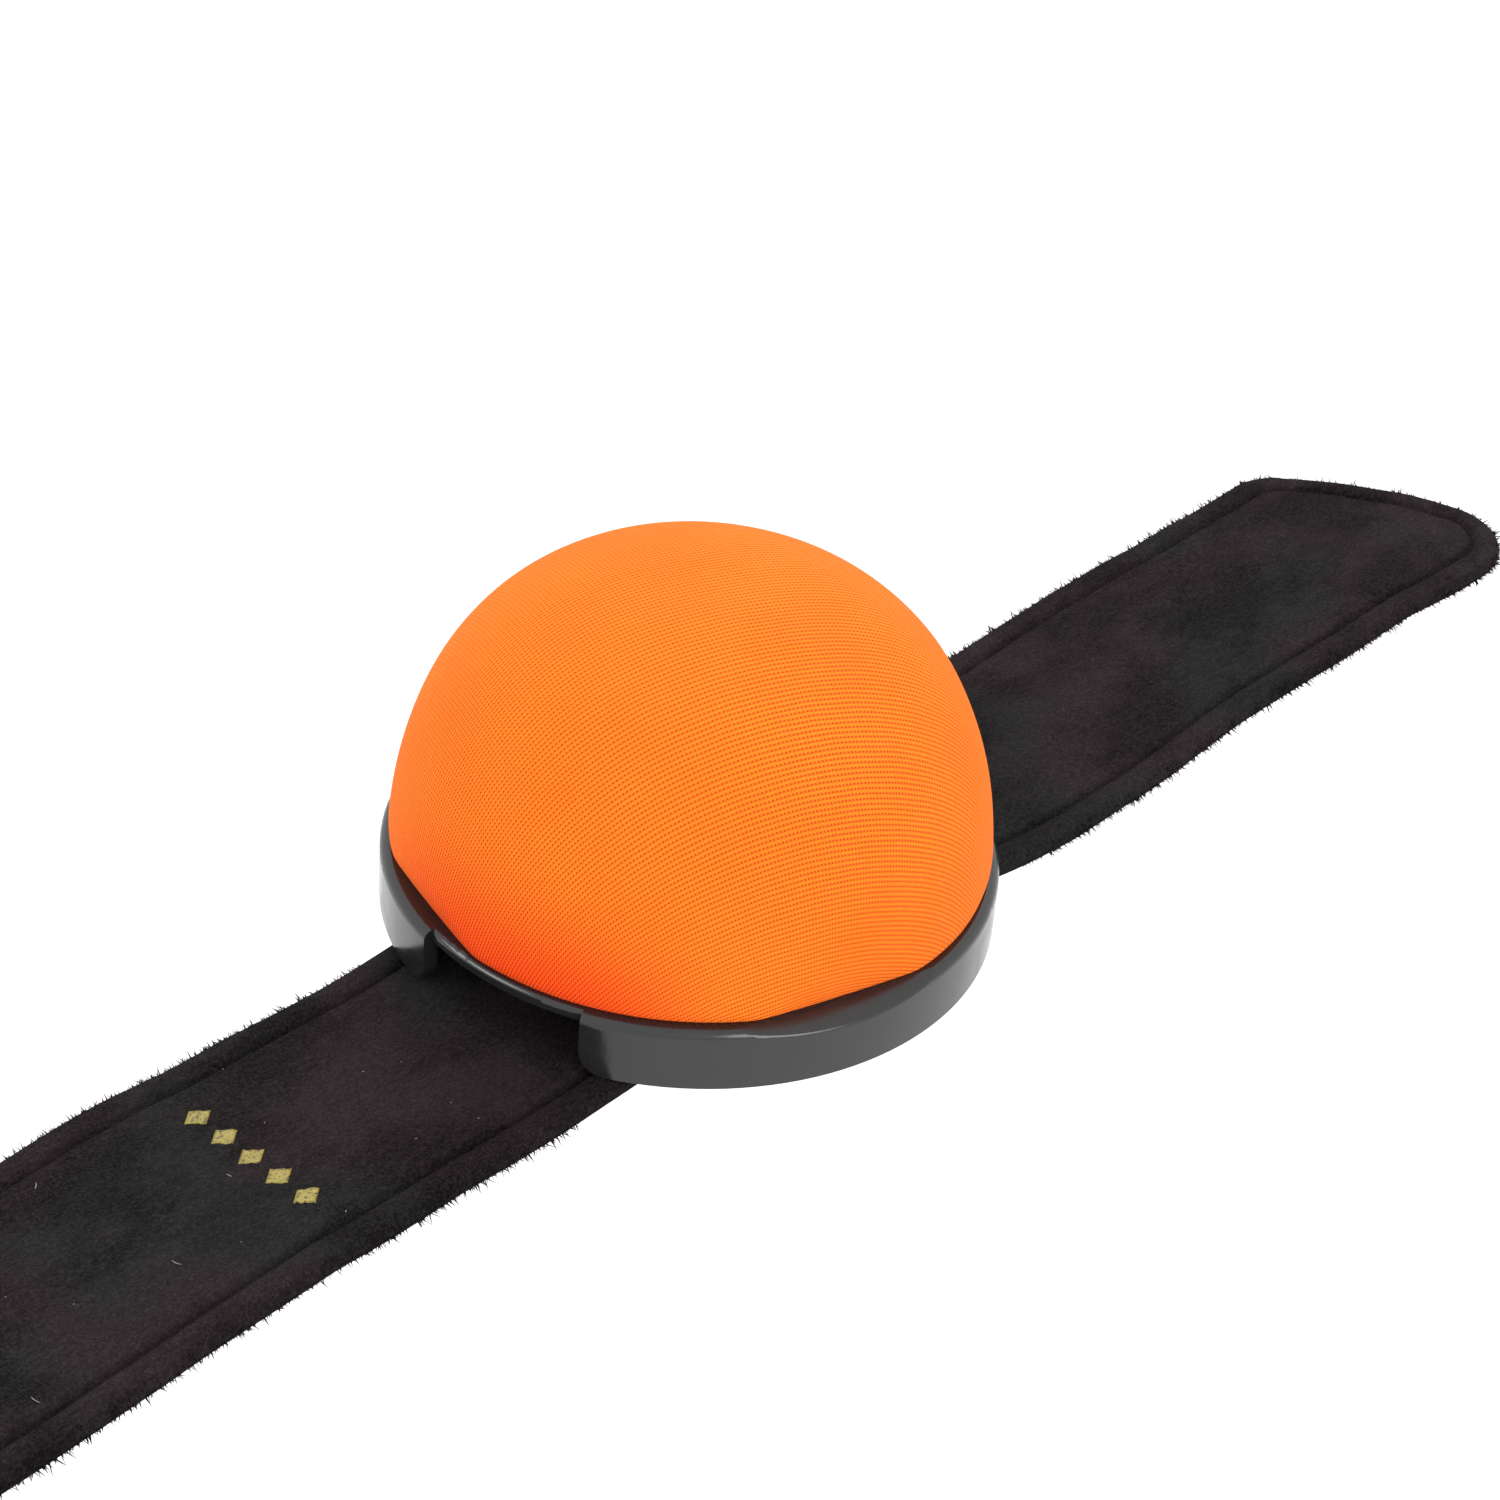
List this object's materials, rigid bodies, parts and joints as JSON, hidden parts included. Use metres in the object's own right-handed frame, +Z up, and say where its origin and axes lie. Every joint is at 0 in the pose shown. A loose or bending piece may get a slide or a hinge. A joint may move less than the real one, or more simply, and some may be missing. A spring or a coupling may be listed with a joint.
{
  "type": "wrist pin cushion",
  "caption": "Domed jersey pin cushion in a shallow round moulded base, on a padded fabric wrist strap with a touch fastener.",
  "frame": {"origin": "centre of the keeper plate's wrist-side face, under the centre of the ring", "axes": "+X along the strap to its oblique tip, +Y across the strap, +Z up through the dome"},
  "size_m": [0.2574, 0.065, 0.0425],
  "materials": {
    "black_plastic": "gloss moulded",
    "keeper_plastic": "satin moulded",
    "orange_jersey": "fine stretch jersey, fluorescent orange",
    "filling": "fibre filling",
    "board": "grey-brown card",
    "glue": "hot-melt adhesive",
    "thread": "polyester thread",
    "velour": "short black pile",
    "lining": "needled interlining",
    "hooks": "moulded hook tape",
    "loops": "brushed loop tape",
    "gold_foil": "hot-stamped gold foil"
  },
  "bodies": {
    "base": {"base_shell": "black_plastic", "strap_keeper": "keeper_plastic", "cushion_cover": "orange_jersey", "cushion_filling": "filling", "cushion_board": "board", "glue_disc": "glue", "gathering_thread": "thread"},
    "strap_middle": {"strap_back_middle": "velour", "strap_lining_middle": "lining", "strap_face_middle": "velour"},
    "strap_right_1": {"strap_back_right_1": "velour", "strap_lining_right_1": "lining", "strap_face_right_1": "velour"},
    "strap_right_2": {"strap_back_right_2": "velour", "strap_lining_right_2": "lining", "strap_face_right_2": "velour"},
    "strap_right_3": {"strap_back_right_3": "velour", "strap_lining_right_3": "lining", "strap_face_right_3": "velour", "loop_patch_inner": "loops"},
    "strap_right_4": {"strap_back_right_4": "velour", "strap_lining_right_4": "lining", "strap_face_right_4": "velour", "loop_patch_middle": "loops"},
    "strap_right_5": {"strap_back_right_5": "velour", "strap_lining_right_5": "lining", "strap_face_right_5": "velour", "loop_patch_outer": "loops"},
    "strap_left_1": {"strap_back_left_1": "velour", "strap_lining_left_1": "lining", "strap_face_left_1": "velour"},
    "strap_left_2": {"strap_back_left_2": "velour", "strap_lining_left_2": "lining", "strap_face_left_2": "velour"},
    "strap_left_3": {"strap_back_left_3": "velour", "strap_lining_left_3": "lining", "strap_face_left_3": "velour", "foil_motif": "gold_foil"},
    "strap_left_4": {"strap_back_left_4": "velour", "strap_lining_left_4": "lining", "strap_face_left_4": "velour"},
    "strap_left_5": {"strap_back_left_5": "velour", "strap_lining_left_5": "lining", "strap_face_left_5": "velour", "hook_patch": "hooks"}
  },
  "joints": [
    {"name": "strap_slide", "type": "slide", "parent": "base", "child": "strap_middle", "axis": [1, 0, 0], "range_m": [-0.005, 0.005]},
    {"name": "right_fold_1", "type": "hinge", "parent": "strap_middle", "child": "strap_right_1", "pos_m": [0.022, 0, 0.0012], "axis": [0, 1, 0], "range_deg": [0, 42]},
    {"name": "right_fold_2", "type": "hinge", "parent": "strap_right_1", "child": "strap_right_2", "pos_m": [0.041, 0, 0.0012], "axis": [0, 1, 0], "range_deg": [0, 42]},
    {"name": "right_fold_3", "type": "hinge", "parent": "strap_right_2", "child": "strap_right_3", "pos_m": [0.06, 0, 0.0012], "axis": [0, 1, 0], "range_deg": [0, 40]},
    {"name": "right_fold_4", "type": "hinge", "parent": "strap_right_3", "child": "strap_right_4", "pos_m": [0.079, 0, 0.0012], "axis": [0, 1, 0], "range_deg": [0, 32]},
    {"name": "right_fold_5", "type": "hinge", "parent": "strap_right_4", "child": "strap_right_5", "pos_m": [0.098, 0, 0.0012], "axis": [0, 1, 0], "range_deg": [0, 34]},
    {"name": "left_fold_1", "type": "hinge", "parent": "strap_middle", "child": "strap_left_1", "pos_m": [-0.022, 0, 0.0012], "axis": [0, -1, 0], "range_deg": [0, 50]},
    {"name": "left_fold_2", "type": "hinge", "parent": "strap_left_1", "child": "strap_left_2", "pos_m": [-0.041, 0, 0.0012], "axis": [0, -1, 0], "range_deg": [0, 44]},
    {"name": "left_fold_3", "type": "hinge", "parent": "strap_left_2", "child": "strap_left_3", "pos_m": [-0.06, 0, 0.0012], "axis": [0, -1, 0], "range_deg": [0, 44]},
    {"name": "left_fold_4", "type": "hinge", "parent": "strap_left_3", "child": "strap_left_4", "pos_m": [-0.079, 0, 0.0012], "axis": [0, -1, 0], "range_deg": [0, 36]},
    {"name": "left_fold_5", "type": "hinge", "parent": "strap_left_4", "child": "strap_left_5", "pos_m": [-0.098, 0, 0.0012], "axis": [0, -1, 0], "range_deg": [0, 30]}
  ]
}
